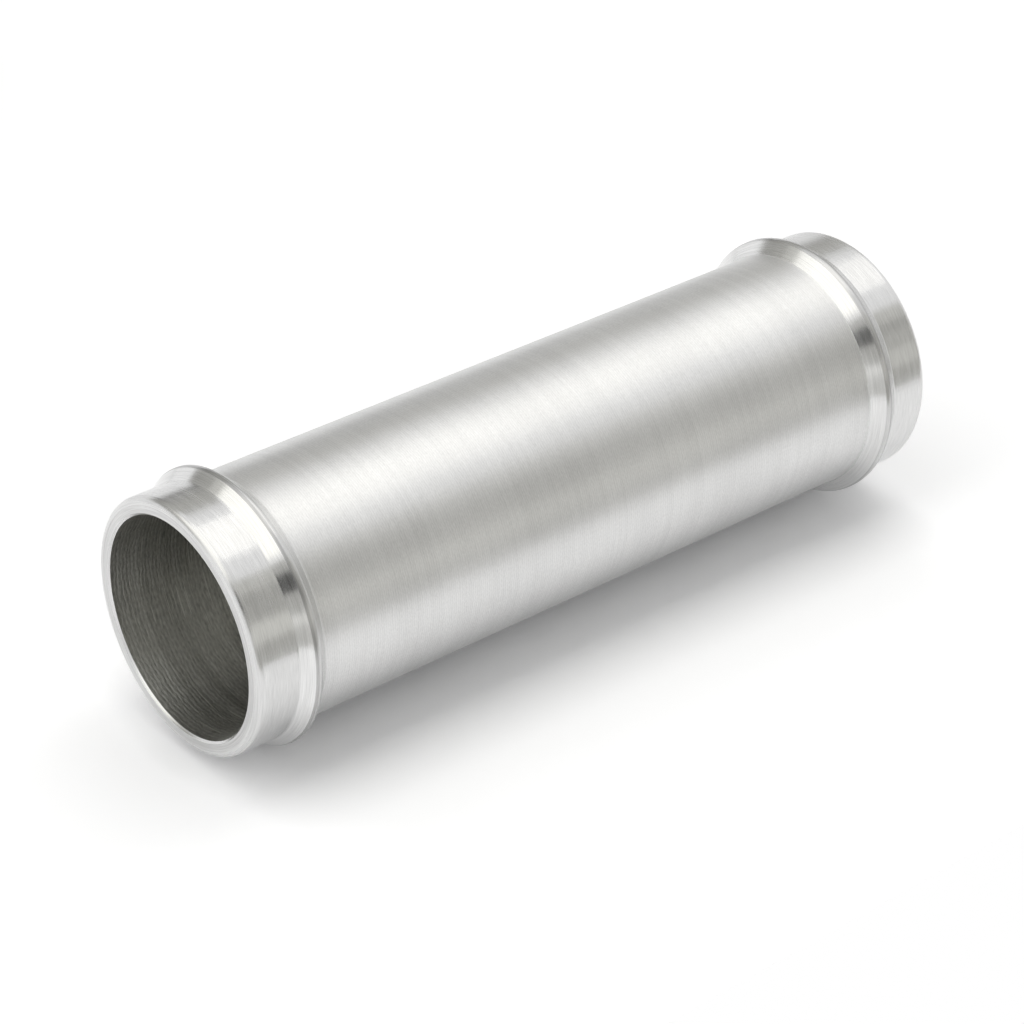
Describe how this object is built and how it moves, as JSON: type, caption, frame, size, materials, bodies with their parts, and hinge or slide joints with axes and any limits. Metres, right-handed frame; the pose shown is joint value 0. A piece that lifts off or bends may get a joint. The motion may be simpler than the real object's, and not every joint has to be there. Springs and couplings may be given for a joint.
{
  "type": "hose joiner",
  "caption": "Straight turned aluminium tube with a raised bead near each end, for joining hoses of the same bore end to end.",
  "frame": {"origin": "middle of the lower end face, on the tube's axis; the tube stands on that face", "axes": "+Z along the tube's axis, from the lower end face to the upper one; X and Y are free, because the tube is round"},
  "size_m": [0.0334, 0.0334, 0.102],
  "materials": {
    "turned_aluminium": "bare metal, fine turned grain round the tube, polished bead flanks, darker bore with coarser rings"
  },
  "bodies": {
    "root": {"joiner_tube": "turned_aluminium"}
  },
  "joints": []
}
